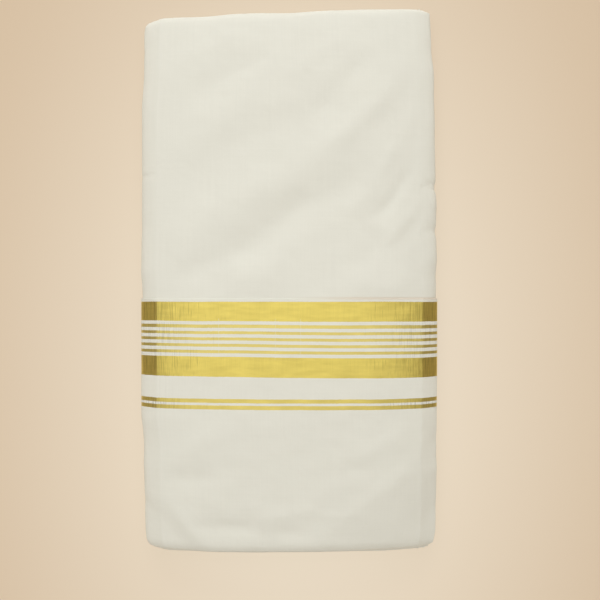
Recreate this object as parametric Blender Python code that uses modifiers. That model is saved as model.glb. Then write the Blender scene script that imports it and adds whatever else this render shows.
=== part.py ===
"""A cotton dhoti folded flat for keeping, with its woven zari border across the middle of the front.

The cloth is one uncut length, 3.80 m by 1.27 m. It is folded once across its width, its selvedge edge is
turned up the front as a flap, and it is then halved four times along its length into sixteen strips.
The two outermost strips, under the pack and over its front, are modelled as two stretches of cloth wall,
the upper panel and the border flap. Each starts at the cloth's cut end under the right edge, passes under
the pack, turns up round the left edge, crosses the front and tucks in half way down the right edge. The
fourteen strips inside are one solid, with the edge of each layer standing out at both ends and the turns
of the lower ones at the right.

Metres, +Z up. The pack lies flat on z = 0, centred on the Z axis, its long side along Y.
"""

import math
from collections import namedtuple

import bmesh
import bpy

# The cloth, as modelled.
WALL = 0.0010
GAP = 0.0003
STEP = WALL + GAP  # from one stretch of cloth to the one that lies on it

# The pack lengthwise.
BOTTOM_FOLD_Y = -0.2161  # where the flat faces end and the rounded ends begin
TOP_FOLD_Y = 0.2164
END_BULGE = 0.0055  # how far the rounded ends stand out past the folds
BULGE_POWER = 2.7  # higher for a squarer end
SELVEDGE_Y = -0.0155  # free edge of the flap
TUCK_Y = SELVEDGE_Y - 0.012  # the upper panel ends here, under the flap
SETTLE_LENGTH = 0.010  # above the selvedge, the panel comes down to the floor over this length
SQUARE_HALF_LENGTH = 0.150  # past this the cloth runs at the slant of the end
EASE = 0.0005  # more room for the cloth wall where the pack slopes down to its ends
EASE_HALF_LENGTH = 0.190

# The pack crosswise.
TURN = 0.0113  # from each side edge to where the front face begins
TURN_SLOPE = math.radians(28)  # of the cloth just outside that line
LEFT_NOSE = 0.50  # heights, as shares of the side's height
RIGHT_NOSE = 0.64
SLOT_HEIGHT = 0.36
CENTRE_LINE = 0.42
CROWN_POWER = 3.2
LOOP_REACH = 0.0055  # how far the right turn's lower side has come back in, before it runs straight
TUCK_REACH = 0.0092  # where that side ends, measured in from the right edge
SLOT_REACH = 0.0100
FREE_END_REACH = 0.0048  # cut end of the cloth, measured in from the right edge

# Mesh density.
RUN_STEPS = 14
TURN_STEPS = 4

# Layers of folded cloth in the solid, from its skin to its middle, at each end.
LAYERS = 7
GROOVE = 0.0012
LAYER_REACHES = (0.0, -0.0006, 0.0003, -0.0004, 0.0005, -0.0003, 0.0)

# Cross-sections: side edges, height in the middle of the front, and height where the side turns begin.
Section = namedtuple("Section", "y left right crown side")
SECTIONS = (
    Section(-0.2161, -0.1143, 0.1178, 0.0212, 0.0165),
    Section(-0.2110, -0.1160, 0.1193, 0.0242, 0.0180),
    Section(-0.2010, -0.1169, 0.1198, 0.0274, 0.0200),
    Section(-0.1810, -0.1175, 0.1195, 0.0299, 0.0215),
    Section(-0.1310, -0.1178, 0.1193, 0.0316, 0.0225),
    Section(-0.1080, -0.1195, 0.1194, 0.0320, 0.0228),
    Section(-0.0600, -0.1196, 0.1198, 0.0320, 0.0226),
    Section(-0.0155, -0.1197, 0.1199, 0.0318, 0.0225),
    Section(0.0100, -0.1209, 0.1206, 0.0308, 0.0220),
    Section(0.0650, -0.1206, 0.1203, 0.0288, 0.0208),
    Section(0.1300, -0.1210, 0.1193, 0.0268, 0.0195),
    Section(0.1630, -0.1201, 0.1191, 0.0255, 0.0185),
    Section(0.1850, -0.1198, 0.1173, 0.0241, 0.0175),
    Section(0.2040, -0.1203, 0.1171, 0.0219, 0.0163),
    Section(0.2164, -0.1186, 0.1166, 0.0187, 0.0150),
)

# How far each end falls short of the pack's full length, across its width.
EndPoint = namedtuple("EndPoint", "x short")
TOP_END = (
    EndPoint(-0.1150, 0.0080),
    EndPoint(-0.0920, 0.0072),
    EndPoint(-0.0500, 0.0053),
    EndPoint(-0.0050, 0.0045),
    EndPoint(0.0350, 0.0020),
    EndPoint(0.0600, 0.0011),
    EndPoint(0.1050, 0.0000),
)
BOTTOM_END = (
    EndPoint(-0.1100, 0.0020),
    EndPoint(-0.0900, 0.0009),
    EndPoint(-0.0700, 0.0002),
    EndPoint(0.0200, 0.0000),
    EndPoint(0.0650, 0.0010),
    EndPoint(0.0920, 0.0018),
    EndPoint(0.1150, 0.0024),
)

# Soft creases of the front face, each along a line. A negative height is a trough.
Crease = namedtuple("Crease", "x0 y0 x1 y1 half_width height")
CREASES = (
    Crease(-0.070, 0.015, 0.064, 0.125, 0.018, -0.0009),
    Crease(-0.082, 0.060, 0.020, 0.150, 0.020, 0.0006),
    Crease(0.046, 0.036, 0.098, 0.074, 0.013, -0.0008),
    Crease(0.076, 0.022, 0.112, 0.060, 0.013, 0.0008),
    Crease(-0.108, -0.150, -0.074, -0.196, 0.013, -0.0007),
    Crease(0.112, -0.132, 0.048, -0.196, 0.014, -0.0007),
)

# Zari stripes woven across the flap, measured down from its selvedge.
Stripe = namedtuple("Stripe", "start width")
BROAD_STRIPES = (Stripe(0.0022, 0.0162), Stripe(0.0456, 0.0168))
THIN_STRIPES = tuple(Stripe(0.0203 + 0.0051 * i, 0.0026) for i in range(5))
PAIRED_STRIPES = (Stripe(0.0783, 0.0035), Stripe(0.0834, 0.0034))
STRIPES = BROAD_STRIPES + THIN_STRIPES + PAIRED_STRIPES

COTTON_COLOUR = (0.737, 0.716, 0.617)
INNER_COLOUR = (0.672, 0.648, 0.548)
ZARI_COLOUR = (0.730, 0.530, 0.130)


def smooth_step(value):
    """0 below 0, 1 above 1, and a smooth rise between."""
    t = min(max(value, 0.0), 1.0)
    return t * t * (3 - 2 * t)


def table_value(rows, place, column):
    """A column's value at a place between a table's rows, on a smooth curve that never overshoots."""
    places = [row[0] for row in rows]
    values = [getattr(row, column) for row in rows]
    if place <= places[0]:
        return values[0]
    if place >= places[-1]:
        return values[-1]
    slopes = [(values[i + 1] - values[i]) / (places[i + 1] - places[i]) for i in range(len(rows) - 1)]
    i = max(n for n in range(len(slopes)) if places[n] <= place)

    def tangent(n):
        if n == 0 or n == len(slopes) or slopes[n - 1] * slopes[n] <= 0:
            return 0.0
        return 2 * slopes[n - 1] * slopes[n] / (slopes[n - 1] + slopes[n])

    length = places[i + 1] - places[i]
    t = (place - places[i]) / length
    rise = (3 - 2 * t) * t * t * (values[i + 1] - values[i])
    bend = t * (1 - t) * ((1 - t) * tangent(i) - t * tangent(i + 1)) * length
    return values[i] + rise + bend


def section_at(y):
    return Section(y, *(table_value(SECTIONS, y, column) for column in Section._fields[1:]))


def crease_height(x, y):
    """What the soft creases add to the front face at (x, y)."""
    total = 0.0
    for crease in CREASES:
        along_x, along_y = crease.x1 - crease.x0, crease.y1 - crease.y0
        length = math.hypot(along_x, along_y)
        share = ((x - crease.x0) * along_x + (y - crease.y0) * along_y) / length**2
        across = ((x - crease.x0) * along_y - (y - crease.y0) * along_x) / length
        ends = smooth_step(share * 4) * smooth_step((1 - share) * 4)
        total += crease.height * ends * math.exp(-((across / crease.half_width) ** 2))
    return total


def front_height(x, row):
    """Height of the front face at x in a section."""
    middle = (row.left + row.right) / 2
    half_run = (row.right - row.left) / 2 - TURN
    share = min(abs(x - middle) / half_run, 1.0)
    crown = (row.crown - row.side) * (1 - share**CROWN_POWER)
    return row.side + crown + crease_height(x, row.y) * (1 - share**4)


def spaced(start, end, steps):
    return [start + (end - start) * i / steps for i in range(steps + 1)]


def bezier(start, handle, other_handle, end, steps):
    """Points of a cubic curve after its start, as far as its end."""
    points = []
    for t in spaced(0.0, 1.0, steps)[1:]:
        weights = ((1 - t) ** 3, 3 * t * (1 - t) ** 2, 3 * t * t * (1 - t), t**3)
        corners = (start, handle, other_handle, end)
        points.append(tuple(sum(w * c[axis] for w, c in zip(weights, corners)) for axis in range(2)))
    return points


def outer_path(row):
    """The outer face of the outermost cloth in a section, as (x, z), from its free end to its tuck."""
    left, right, side = row.left, row.right, row.side
    run = spaced(left + TURN, right - TURN, RUN_STEPS)
    path = [(right - FREE_END_REACH, 0.0)] + [(x, 0.0) for x in reversed(run)]

    nose_z = LEFT_NOSE * side
    path += bezier(path[-1], (left + 0.35 * TURN, 0.0), (left, 0.45 * nose_z), (left, nose_z), TURN_STEPS)
    slope_out, slope_down = 0.6 * TURN, 0.6 * TURN * math.tan(TURN_SLOPE)
    start = (left + TURN, side)
    rise = side - nose_z
    path += bezier(
        (left, nose_z), (left, nose_z + 0.40 * rise), (start[0] - slope_out, side - slope_down),
        start, TURN_STEPS,
    )
    path += [(x, front_height(x, row)) for x in run[1:]]

    nose_z, loop_z = RIGHT_NOSE * side, SLOT_HEIGHT * side
    rise = side - nose_z
    path += bezier(
        path[-1], (path[-1][0] + slope_out, side - 0.8 * slope_down), (right, nose_z + 0.45 * rise),
        (right, nose_z), TURN_STEPS,
    )
    fall = nose_z - loop_z
    path += bezier(
        (right, nose_z), (right, nose_z - 0.6 * fall), (right - 0.4 * LOOP_REACH, loop_z),
        (right - LOOP_REACH, loop_z), TURN_STEPS,
    )
    path.append((right - TUCK_REACH, loop_z))
    return path


def moved_in(path, depth):
    """The path's points moved towards the inside of the pack."""
    moved = []
    for i, (x, z) in enumerate(path):
        before, after = path[max(i - 1, 0)], path[min(i + 1, len(path) - 1)]
        dx, dz = after[0] - before[0], after[1] - before[1]
        length = math.hypot(dx, dz)
        moved.append((x + depth * dz / length, z - depth * dx / length))
    return moved


def settled(path, y, side):
    """The panel's path with its underside let down to the floor, above the flap's selvedge."""
    drop = STEP * smooth_step((y - SELVEDGE_Y) / SETTLE_LENGTH)
    floor_z, nose_z = path[1][1], LEFT_NOSE * side
    lower_count = RUN_STEPS + TURN_STEPS + 2
    return [
        (x, z - drop * (1 - smooth_step((z - floor_z) / (nose_z - floor_z))) if i < lower_count else z)
        for i, (x, z) in enumerate(path)
    ]


def slanted(x, y):
    """The place of a section's point lengthwise, with the slant of the nearer end worked in."""
    if y > 0:
        share = smooth_step((y - SQUARE_HALF_LENGTH) / (TOP_FOLD_Y - SQUARE_HALF_LENGTH))
        return y - share * table_value(TOP_END, x, "short")
    share = smooth_step((-y - SQUARE_HALF_LENGTH) / (-BOTTOM_FOLD_Y - SQUARE_HALF_LENGTH))
    return y + share * table_value(BOTTOM_END, x, "short")


def flap_ring(y):
    row = section_at(y)
    return [(x, slanted(x, y), z) for x, z in moved_in(outer_path(row), WALL / 2)]


def panel_ring(y):
    row = section_at(y)
    path = settled(moved_in(outer_path(row), STEP + WALL / 2), y, row.side)
    return [(x, slanted(x, y), z) for x, z in path]


def right_turns(row, floor_z):
    """The lower strips' turns at the right edge, from the slot down: two loops and a free end."""
    top = SLOT_HEIGHT * row.side - GAP
    heights = [floor_z + share * (top - floor_z) for share in (0.86, 0.55, 0.42, 0.36, 0.22, 0.16, 0.12)]
    reaches = (0.0023, 0.0023, 0.0050, 0.0033, 0.0033, 0.0056, 0.0046)
    slot = [(row.right - SLOT_REACH, top), (row.right - 0.0042, top)]
    return slot + [(row.right - reach, z) for reach, z in zip(reaches, heights)]


def core_path(y, under_panel):
    """The hidden strips' section, as a closed path that starts under the right edge."""
    row = section_at(y)
    depth = 2 * STEP if under_panel else STEP
    depth += EASE * smooth_step((abs(y) - EASE_HALF_LENGTH) / (TOP_FOLD_Y - EASE_HALF_LENGTH))
    path = moved_in(outer_path(row), depth)
    if under_panel:
        path = settled(path, y, row.side)
    path[-1] = (row.right - SLOT_REACH, path[-2][1])
    return path + right_turns(row, path[0][1])


def core_middle(path):
    """For each point of a core path, the point of the pack's middle line that its layers close in on."""
    first, last = 1, RUN_STEPS + 1  # the run under the pack, right to left
    front = last + 2 * TURN_STEPS  # the run over the front, left to right
    line = [(path[front + i][0], CENTRE_LINE * path[front + i][1]) for i in range(RUN_STEPS + 1)]
    middle = []
    for i in range(len(path)):
        if i <= first:
            middle.append(RUN_STEPS)
        elif i <= last:
            middle.append(RUN_STEPS - (i - first))
        elif i <= front:
            middle.append(0)
        else:
            middle.append(min(i - front, RUN_STEPS))
    return line, middle


def end_rings(path, fold_y, sign):
    """The layered end of the core: rings that close in on its middle line, and that line."""
    line, middle = core_middle(path)
    end_table = TOP_END if sign > 0 else BOTTOM_END

    def end_y(x, share, reach):
        bulge = END_BULGE * (1 - (1 - share) ** BULGE_POWER) + reach
        return fold_y + sign * (bulge - table_value(end_table, x, "short"))

    rings = []
    for half_layer in range(1, 2 * LAYERS):
        share = half_layer / (2 * LAYERS)
        layer_reach = LAYER_REACHES[half_layer // 2]
        reach = layer_reach if half_layer % 2 else min(layer_reach, 0.0) - GROOVE
        ring = []
        for (x, z), place in zip(path, middle):
            inner_x, inner_z = line[place]
            ring_x, ring_z = x + share * (inner_x - x), z + share * (inner_z - z)
            ring.append((ring_x, end_y(ring_x, share, reach), ring_z))
        rings.append(ring)
    centre = [(x, end_y(x, 1.0, -GROOVE), z) for x, z in line]
    return rings, centre, middle


def add_rings(mesh, rings, closed):
    """Quads between neighbouring rings of equal length. Returns the rings as vertices."""
    vertices = [[mesh.verts.new(point) for point in ring] for ring in rings]
    for ring, after in zip(vertices, vertices[1:]):
        count = len(ring) if closed else len(ring) - 1
        for i in range(count):
            j = (i + 1) % len(ring)
            mesh.faces.new((ring[i], ring[j], after[j], after[i]))
    return vertices


def close_on_line(mesh, ring, line, middle, sign):
    """Closes a ring on its middle line, with quads along the runs and fans round the turns."""
    centres = [mesh.verts.new(point) for point in line]
    for i in range(len(ring)):
        j = (i + 1) % len(ring)
        corners = [ring[i], centres[middle[i]], centres[middle[j]], ring[j]]
        if middle[i] == middle[j]:
            corners.pop(2)
        mesh.faces.new(reversed(corners) if sign > 0 else corners)


def section_places(start, end, extra=()):
    """Places of the sections between two ends: those of the table, and any extra ones."""
    inside = {row.y for row in SECTIONS if start < row.y < end} | {y for y in extra if start < y < end}
    return [start] + sorted(inside) + [end]


def new_material(name, colour, roughness, metallic=0.0):
    material = bpy.data.materials.new(name)
    material.use_nodes = True
    material.diffuse_color = (*colour, 1.0)
    shader = material.node_tree.nodes["Principled BSDF"]
    shader.inputs["Base Color"].default_value = (*colour, 1.0)
    shader.inputs["Roughness"].default_value = roughness
    shader.inputs["Metallic"].default_value = metallic
    return material


def new_object(name, mesh, collection, materials):
    data = bpy.data.meshes.new(name)
    mesh.to_mesh(data)
    mesh.free()
    for material in materials:
        data.materials.append(material)
    data.shade_smooth()
    data.set_sharp_from_angle(angle=math.radians(40))
    made = bpy.data.objects.new(name, data)
    collection.objects.link(made)
    return made


def add_wall(made):
    wall = made.modifiers.new("cloth wall", "SOLIDIFY")
    wall.thickness = WALL
    wall.offset = 0.0
    wall.use_even_offset = True


def make_core(collection, cotton):
    """The fourteen strips inside, as one solid."""
    creasing = (-0.155, -0.085, 0.037, 0.097)
    lower = section_places(BOTTOM_FOLD_Y, TUCK_Y - 0.0020, creasing)
    upper = section_places(TUCK_Y - 0.0005, TOP_FOLD_Y, creasing + (SELVEDGE_Y + SETTLE_LENGTH,))
    paths = [(y, core_path(y, False)) for y in lower] + [(y, core_path(y, True)) for y in upper]
    rings = [[(x, slanted(x, y), z) for x, z in path] for y, path in paths]
    bottom_rings, bottom_line, middle = end_rings(paths[0][1], BOTTOM_FOLD_Y, -1)
    top_rings, top_line, _ = end_rings(paths[-1][1], TOP_FOLD_Y, 1)
    mesh = bmesh.new()
    vertices = add_rings(mesh, bottom_rings[::-1] + rings + top_rings, closed=True)
    close_on_line(mesh, vertices[0], bottom_line, middle, -1)
    close_on_line(mesh, vertices[-1], top_line, middle, 1)
    return new_object("folded_layers", mesh, collection, [cotton])


def make_panel(collection, cotton):
    """The outermost strips above the flap, and the margin that the flap covers."""
    places = section_places(TUCK_Y, TOP_FOLD_Y - GAP, (0.037, 0.097, SELVEDGE_Y + SETTLE_LENGTH))
    mesh = bmesh.new()
    add_rings(mesh, [panel_ring(y) for y in places], closed=False)
    made = new_object("upper_panel", mesh, collection, [cotton])
    add_wall(made)
    return made


def make_flap(collection, cotton, zari):
    """The flap of the outermost strips, with its zari stripes in their own material."""
    edges = [SELVEDGE_Y - stripe.start for stripe in STRIPES]
    edges += [SELVEDGE_Y - stripe.start - stripe.width for stripe in STRIPES]
    places = section_places(BOTTOM_FOLD_Y + GAP, SELVEDGE_Y, [-0.155] + edges)
    mesh = bmesh.new()
    add_rings(mesh, [flap_ring(y) for y in places], closed=False)
    for face in mesh.faces:
        down = SELVEDGE_Y - face.calc_center_median().y
        in_stripe = any(0 < down - stripe.start < stripe.width for stripe in STRIPES)
        face.material_index = 1 if in_stripe else 0
    made = new_object("border_flap", mesh, collection, [cotton, zari])
    add_wall(made)
    return made


def main():
    for old in list(bpy.data.objects):
        bpy.data.objects.remove(old, do_unlink=True)
    pack = bpy.data.collections.new("folded_dhoti")
    bpy.context.scene.collection.children.link(pack)
    cotton = new_material("cream cotton", COTTON_COLOUR, 0.85)
    inner = new_material("cream cotton, inner layers", INNER_COLOUR, 0.9)
    zari = new_material("gold zari", ZARI_COLOUR, 0.38, metallic=0.8)
    root = bpy.data.objects.new("pack", None)
    pack.objects.link(root)
    for made in (make_core(pack, inner), make_panel(pack, cotton), make_flap(pack, cotton, zari)):
        made.parent = root


main()
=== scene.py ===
"""Looks of the folded dhoti: its creased cream cotton, its folded layers and its woven zari border.

Three pieces of cloth stand for the three CAD nodes. The upper panel and the border flap are thin shells
on the form of the outermost turn of the cloth. The fourteen strips inside are one ribbon, folded to and
fro as the real cloth is, so its folds show at both ends and its turns show at the right edge.

Every piece is a grid: rows along Y, columns along the cloth's path round the pack in the XZ plane.
Metres, +Z up.
"""

import math
from collections import namedtuple

import bpy
import numpy as np
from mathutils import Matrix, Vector


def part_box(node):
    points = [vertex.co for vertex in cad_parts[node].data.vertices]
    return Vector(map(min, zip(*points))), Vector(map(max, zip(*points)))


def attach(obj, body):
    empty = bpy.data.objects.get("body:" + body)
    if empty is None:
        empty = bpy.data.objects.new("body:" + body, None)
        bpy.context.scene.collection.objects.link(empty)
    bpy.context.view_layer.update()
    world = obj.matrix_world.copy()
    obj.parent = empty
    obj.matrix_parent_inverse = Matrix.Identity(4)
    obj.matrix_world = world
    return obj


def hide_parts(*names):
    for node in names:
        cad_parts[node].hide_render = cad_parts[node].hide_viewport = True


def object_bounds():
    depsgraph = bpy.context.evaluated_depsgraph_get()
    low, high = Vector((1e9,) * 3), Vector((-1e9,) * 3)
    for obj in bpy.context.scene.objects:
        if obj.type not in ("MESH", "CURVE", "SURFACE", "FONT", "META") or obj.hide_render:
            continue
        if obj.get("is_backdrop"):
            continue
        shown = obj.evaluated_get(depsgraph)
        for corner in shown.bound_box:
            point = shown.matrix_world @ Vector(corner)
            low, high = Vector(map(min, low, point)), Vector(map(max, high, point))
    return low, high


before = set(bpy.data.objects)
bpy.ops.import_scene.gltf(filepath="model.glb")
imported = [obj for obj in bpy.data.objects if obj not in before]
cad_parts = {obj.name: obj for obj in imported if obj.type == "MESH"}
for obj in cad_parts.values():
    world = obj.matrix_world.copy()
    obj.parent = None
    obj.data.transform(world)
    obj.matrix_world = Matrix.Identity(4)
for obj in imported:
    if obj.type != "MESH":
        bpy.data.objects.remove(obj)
cad_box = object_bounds()
scene = bpy.context.scene

# The camera hangs over the pack's middle and looks straight down.
CAMERA_PLACE = (0.00915, -0.01645, 0.482)
CAMERA_LENS = 34.75  # mm, on a 36 mm sensor

# The pack lengthwise.
SELVEDGE_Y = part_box("border_flap")[1].y  # free edge of the flap
TUCK_Y = SELVEDGE_Y - 0.012  # the upper panel ends here, under the flap
BOTTOM_FOLD_Y = -0.2146  # where the flat faces end and the rounded ends begin
TOP_FOLD_Y = 0.2172
BOTTOM_BULGE = 0.0057  # how far the rounded ends stand out past the folds
TOP_BULGE = 0.0048
BULGE_POWER = 1.7  # higher for a squarer end
SQUARE_HALF_LENGTH = 0.150  # past this the cloth runs at the slant of the end

# The pack crosswise.
LEFT_TURN, RIGHT_TURN = 0.0153, 0.0136  # from each side edge to where the front face begins
SIDE_LIFT = 0.0006  # of the front face there, over the height that the sections give
TURN_HANDLE = 0.6  # share of a turn's width over which it keeps the slope that it starts with
PLAIN_SLOPE, BORDER_SLOPE = math.radians(18), math.radians(30)  # of the cloth just outside that line
PLAIN_SHOULDER, BORDER_SHOULDER = 0.45, 0.15  # how squarely the right turn comes down to its nose
BORDER_LENGTH = 0.090  # how far below the selvedge the border reaches
LEFT_NOSE, RIGHT_NOSE, SLOT_HEIGHT, CENTRE_LINE = 0.50, 0.64, 0.36, 0.42  # shares of the side's height
CROWN_POWER = 3.2
RELIEF_FADE_POWER = 6  # the creases fade out towards the side turns with this power
PUCKER_FADE_POWER = 30
LOOP_REACH = 0.0055  # how far the right turn's lower side has come back in, before it runs straight
TUCK_REACH = 0.0160  # where that side ends, in from the right edge
FREE_END_REACH = 0.0048  # cut end of the cloth, in from the right edge

# Thicknesses of the cloth: one ply pair, and the rounded folds at the top and bottom ends.
SHEET = 0.00055
TOP_FOLD = 0.0012
BOTTOM_FOLD = 0.0018
FOLD_LENGTH = 0.016  # over which the sheet thickens into its fold
PANEL_DEPTH = 0.0007  # of the upper panel under the pack's skin, on the front
PANEL_SIDE_DEPTH = 0.0013  # the same, at the side edges
PANEL_STEP_LENGTH = 0.010  # past the selvedge, over which its underside comes out to the skin
LAYER_DEPTH = 0.0014  # of the inner strips under the skin
LAYER_END_DEPTH = 0.0021  # the same, at the folds
LAYER_FILL = 0.86  # share of each strip's room that its cloth takes
FRONT_END_SHARE = 0.33  # how far the outermost folds close over the ends: on the front,
UNDER_END_SHARE = 0.06  # underneath
RIGHT_END_SHARE = 0.22  # and in the slot of the right turn
CLOSING_SHARES = (0.12, 0.26, 0.40, 0.55, 0.70, 0.85, 1.0)  # rows of those folds, by share of the way
NOSE_ANGLES = [math.radians(a) for a in (20, 40, 58, 74, 86)]
NO_STEP = 1e-12  # for lengths that may be 0

# Spacing of the outermost cloth's rows, and of its columns.
FINE_LENGTH = 0.012  # beside each fold, where the rows lie close together
FINE_ROWS, COARSE_ROWS = 0.0010, 0.0020
FACE_RUN = 0.218  # about the width of the runs over and under the pack
UNDER_COLUMNS, FINE_COLUMNS, COARSE_COLUMNS = 0.0028, 0.0005, 0.0019


def from_mm(row_type, *rows):
    """Rows of a table whose lengths are written in millimetres."""
    return [row_type(*(length / 1000 for length in row)) for row in rows]


# Cross-sections: side edges, height in the middle of the front, and height where the side turns begin.
Section = namedtuple("Section", "y left right crown side")
SECTIONS = from_mm(
    Section,
    (-214.6, -113.6, 117.2, 27.0, 19.4),
    (-212.4, -114.9, 117.9, 27.9, 19.9),
    (-210.2, -115.6, 118.3, 28.5, 20.2),
    (-208.1, -115.9, 118.6, 28.8, 20.4),
    (-203.4, -116.3, 119.2, 29.1, 20.6),
    (-181.0, -116.8, 119.3, 30.2, 21.5),
    (-131.0, -117.8, 119.3, 31.6, 22.5),
    (-108.0, -119.5, 119.4, 32.0, 22.8),
    (-60.0, -119.6, 119.8, 32.0, 22.6),
    (-15.5, -119.7, 119.9, 31.8, 22.5),
    (10.0, -120.9, 120.6, 30.8, 22.0),
    (65.0, -120.6, 120.3, 28.8, 20.8),
    (130.0, -120.8, 119.3, 26.8, 19.5),
    (163.0, -119.7, 119.2, 25.5, 18.5),
    (185.0, -119.4, 117.4, 24.0, 17.5),
    (200.5, -119.4, 116.7, 22.5, 16.6),
    (209.9, -119.3, 116.4, 21.3, 16.0),
    (214.9, -118.5, 116.0, 20.1, 15.5),
    (217.2, -117.1, 116.1, 18.7, 14.9),
)

# How steep the side turns are on the left and right: 0 as on plain cloth, 1 as on the stiff border.
Steepness = namedtuple("Steepness", "y left right")
STEEPNESS = [Steepness(*row) for row in (
    (-0.123, 0.5, 1.2), (-0.103, 1.0, 1.0), (-0.018, 1.0, 1.0), (-0.015, 0.2, 0.6), (0.030, 0.0, 0.0),
)]

# Where the front falls away to its lower corners: to the left of a line, by a depth, over a width.
Fall = namedtuple("Fall", "x0 y0 x1 y1 width depth")
CORNER_FALLS = from_mm(Fall, (115, -137, 50, -182, 55, 4), (-76, -198, -110, -164, 14, 1.1))

# How far each end falls short of the pack's full length, across its width.
EndPoint = namedtuple("EndPoint", "x short")
TOP_END = from_mm(
    EndPoint,
    (-115, 8.4), (-92, 7.6), (-64, 7.0), (-42, 5.1), (-5, 4.8), (35, 2.3), (60, 1.8), (105, 0.5),
)
BOTTOM_END = from_mm(EndPoint, (-110, 0.2), (-90, 0.2), (20, 0.6), (90, 0.7), (115, 1.0))

# Creases of the front, each along a bowed line. A negative height is a trough, and a positive bow puts
# the middle of the line to the right of the way from its start to its end.
Crease = namedtuple("Crease", "x0 y0 x1 y1 bow half_width height")
FRONT_CREASES = from_mm(
    Crease,
    # the long diagonal ridge across the upper panel
    (-104, 12, 2, 86, -2, 14, 1.25),
    (-36, 58, 64, 126, 2, 13.5, 1.15),
    (16, 90, 106, 178, 2, 9.5, 1.15),
    # the deep trough under it
    (-108, -8, -14, 32, 1, 10, -0.8),
    (-54, 6, 28, 74, 1, 12, -1.5),
    (-4, 48, 70, 88, 1, 12, -0.9),
    # the shallow trough above it
    (-108, 56, -4, 128, 0, 13, -0.75),
    (-44, 108, 52, 144, 1, 10, -0.7),
    (12, 122, 80, 188, -1, 11, -0.95),
    # fainter ones above
    (-84, 102, -14, 158, 0, 9, 0.45),
    (-14, 154, 60, 208, 2, 8.5, 0.5),
    (-98, 130, -6, 192, 0, 11.5, -0.95),
    (-50, 160, -12, 182, 1, 5, -0.3),
    (-96, 172, -30, 206, -2, 8, 0.4),
    # the pulls in towards the right edge
    (46, 46, 88, 112, 2, 6.5, 0.5),
    (70, 80, 110, 146, 1, 7.5, 0.7),
    (66, 42, 100, 90, 1, 6, -1.3),
    (70, 20, 117, 76, 1, 6, 0.9),
    (48, 56, 84, 18, 5, 7.5, -0.65),
    (70, 18, 117, 60, 5, 8, -0.7),
    (30, -10, 116, 4, 1, 14.5, 1.4),
    (62, 16, 117, 40, 1, 8, 0.4),
    (86, 74, 116, 110, 1, 6, -0.5),
    # just above the flap
    (-52, -8, 12, 14, 0, 13, 0.95),
    (-70, -14, -36, 10, 0, 7, -0.3),
    (-106, -4, -98.5, -4.7, 0, 0.9, -0.5),
    # below the border
    (-98, -148, -44, -112, 0, 10, 0.6),
    (-116, -160, -52, -155, 0, 8, -1),
    (-112, -158, -70, -204, 1, 5.5, 0.6),
    (-68, -188, -36, -150, 0, 9, 0.45),
    (-34, -188, 34, -180, 0, 7, 0.3),
    (-86, -196, -14, -194, 0, 6, -0.85),
    (-28, -199, 24, -200, 0, 6, -0.45),
    (52, -182, 124, -134, -2, 7, 0.7),
    (44, -144, 104, -116, 0, 7.5, 0.8),
    (40, -147, 70, -152, 0, 6, -0.5),
    (20, -188, 60, -184, 0, 6, 0.3),
)

# Small dents that pull the side edges in.
Dent = namedtuple("Dent", "y half_length depth")
LEFT_DENTS = from_mm(Dent, (82.7, 1.4, 0.7), (-132, 10, 0.4), (168, 12, 0.3))
RIGHT_DENTS = from_mm(
    Dent, (73.8, 3.5, 1.0), (38.5, 4.5, 0.7), (5, 6, 0.4), (-142, 8, 0.4), (150, 10, 0.3)
)

# Creases that run round the side turns: where, how long, and how far they lean along the pack.
TurnCrease = namedtuple("TurnCrease", "y half_length lean height")
LEFT_TURN_CREASES = from_mm(
    TurnCrease,
    (190, 6, 10, -0.35), (142, 8, 14, 0.3), (83, 1.8, 2, -0.22), (40, 7, 12, -0.3),
    (4, 6, 8, 0.25), (-118, 6, -8, -0.35), (-148, 7, -10, 0.3), (-178, 6, -12, -0.4),
)
RIGHT_TURN_CREASES = from_mm(
    TurnCrease,
    (182, 7, 10, -0.35), (126, 6, 10, 0.35), (74, 4, 8, -0.6), (60, 6, 8, 0.5), (38, 4.5, 8, -0.5),
    (18, 5, 6, 0.35), (2, 4, 4, -0.35), (-128, 6, -10, -0.4), (-150, 7, -12, 0.35), (-184, 6, -10, -0.35),
)

# Zari stripes woven across the flap, measured down from its selvedge. Cover is the share of the surface
# that the metal thread takes.
Stripe = namedtuple("Stripe", "start width cover")
STRIPES = (
    Stripe(0.0022, 0.0155, 1.00),
    *(Stripe(0.0207 + 0.00513 * i, 0.0024, 0.92) for i in range(5)),
    Stripe(0.0461, 0.0159, 1.00), Stripe(0.0783, 0.0031, 0.96), Stripe(0.0834, 0.0030, 0.96),
)
STRIPE_RANGE = 0.1  # what the stripe ramp spans
THIN_STRIPES_MIDDLE, THIN_STRIPES_REACH = 0.0324, 0.0136  # where the stripes lie close, by way down
PAIR_GAP_MIDDLE, PAIR_GAP_REACH = 0.0824, 0.0012
SLUB_THREADS = (-0.0554, -0.0118, 0.0076)  # thick threads that cross the border, by x
SLUB_WIDTH = 0.0004
PUCKER_LINES_START, PUCKER_LINES_LENGTH = 0.060, 0.045  # where the fine dark lines of painted shade in the puckers beside the side turns begin

# How much higher the border lies towards the left edge: from its first band on, and from its pair on.
BAND_DRIFT, PAIR_DRIFT = 0.0014, 0.0004
DRIFT_LENGTH = 0.040  # below the selvedge, over which the first comes in
PAIR_DRIFT_START, PAIR_DRIFT_LENGTH = 0.058, 0.022
DRIFT_HALF_WIDTH = 0.090  # from this x on the right to the same x on the left

# Fine upright puckers of the border beside its side turns.
PUCKER_REACH = 0.034  # how far in from the turns they run
PUCKER_HEIGHT = 0.00004
PUCKER_FADE_HIGH, PUCKER_FADE_LOW = 0.004, 0.010  # over which they begin and end
FINE_PUCKERS, BROAD_PUCKERS = 2400, 1490  # radians per metre

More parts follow.
